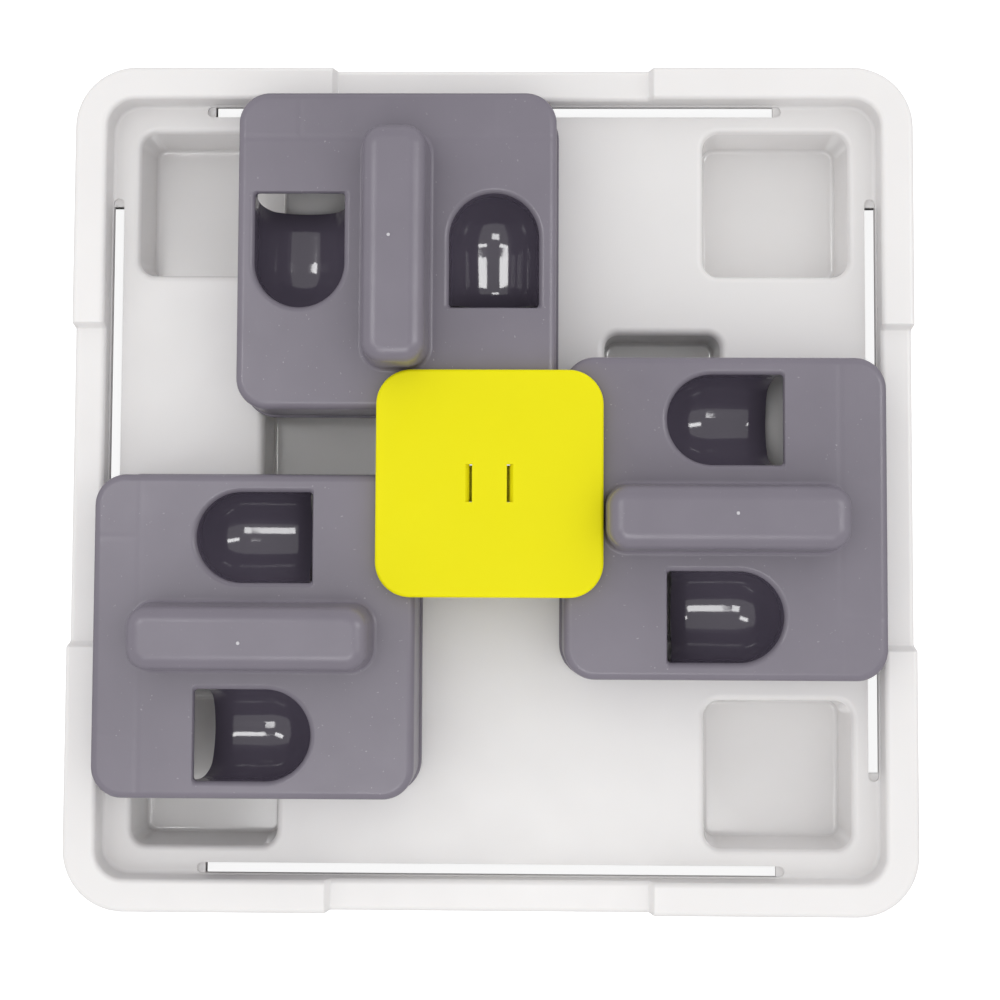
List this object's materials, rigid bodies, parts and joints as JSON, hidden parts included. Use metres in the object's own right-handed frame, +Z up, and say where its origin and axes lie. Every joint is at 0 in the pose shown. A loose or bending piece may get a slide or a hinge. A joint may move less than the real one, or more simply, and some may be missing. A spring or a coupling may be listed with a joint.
{
  "type": "dog puzzle feeder toy",
  "caption": "Square tray with corner treat compartments, grey sliders with grip bars and D-shaped scoops that run round it, and a yellow centre lid that holds them down.",
  "frame": {"origin": "on the table under the centre of the square tray", "axes": "+Z up, +Y to the far side (the side of the top slider), +X to the side of the right slider"},
  "size_m": [0.25, 0.25, 0.0645],
  "materials": {
    "tray_plastic": "smooth",
    "slider_plastic": "satin",
    "lid_plastic": "satin",
    "foot_rubber": "matte"
  },
  "bodies": {
    "tray": {"base_tray": "tray_plastic", "centre_lid": "lid_plastic", "foot_rear_left": "foot_rubber", "foot_rear_right": "foot_rubber", "foot_front_left": "foot_rubber", "foot_front_right": "foot_rubber"},
    "top_slider": {"top_slider": "slider_plastic"},
    "left_slider": {"left_slider": "slider_plastic"},
    "right_slider": {"right_slider": "slider_plastic"}
  },
  "joints": [
    {"name": "top_slide", "type": "slide", "parent": "tray", "child": "top_slider", "axis": [1, 0, 0], "range_m": [-0.0402, 0]},
    {"name": "left_slide", "type": "slide", "parent": "tray", "child": "left_slider", "axis": [0, 1, 0], "range_m": [-0.0236, 0.0166]},
    {"name": "right_slide", "type": "slide", "parent": "tray", "child": "right_slider", "axis": [0, 1, 0], "range_m": [-0.0579, 0.0771]}
  ]
}
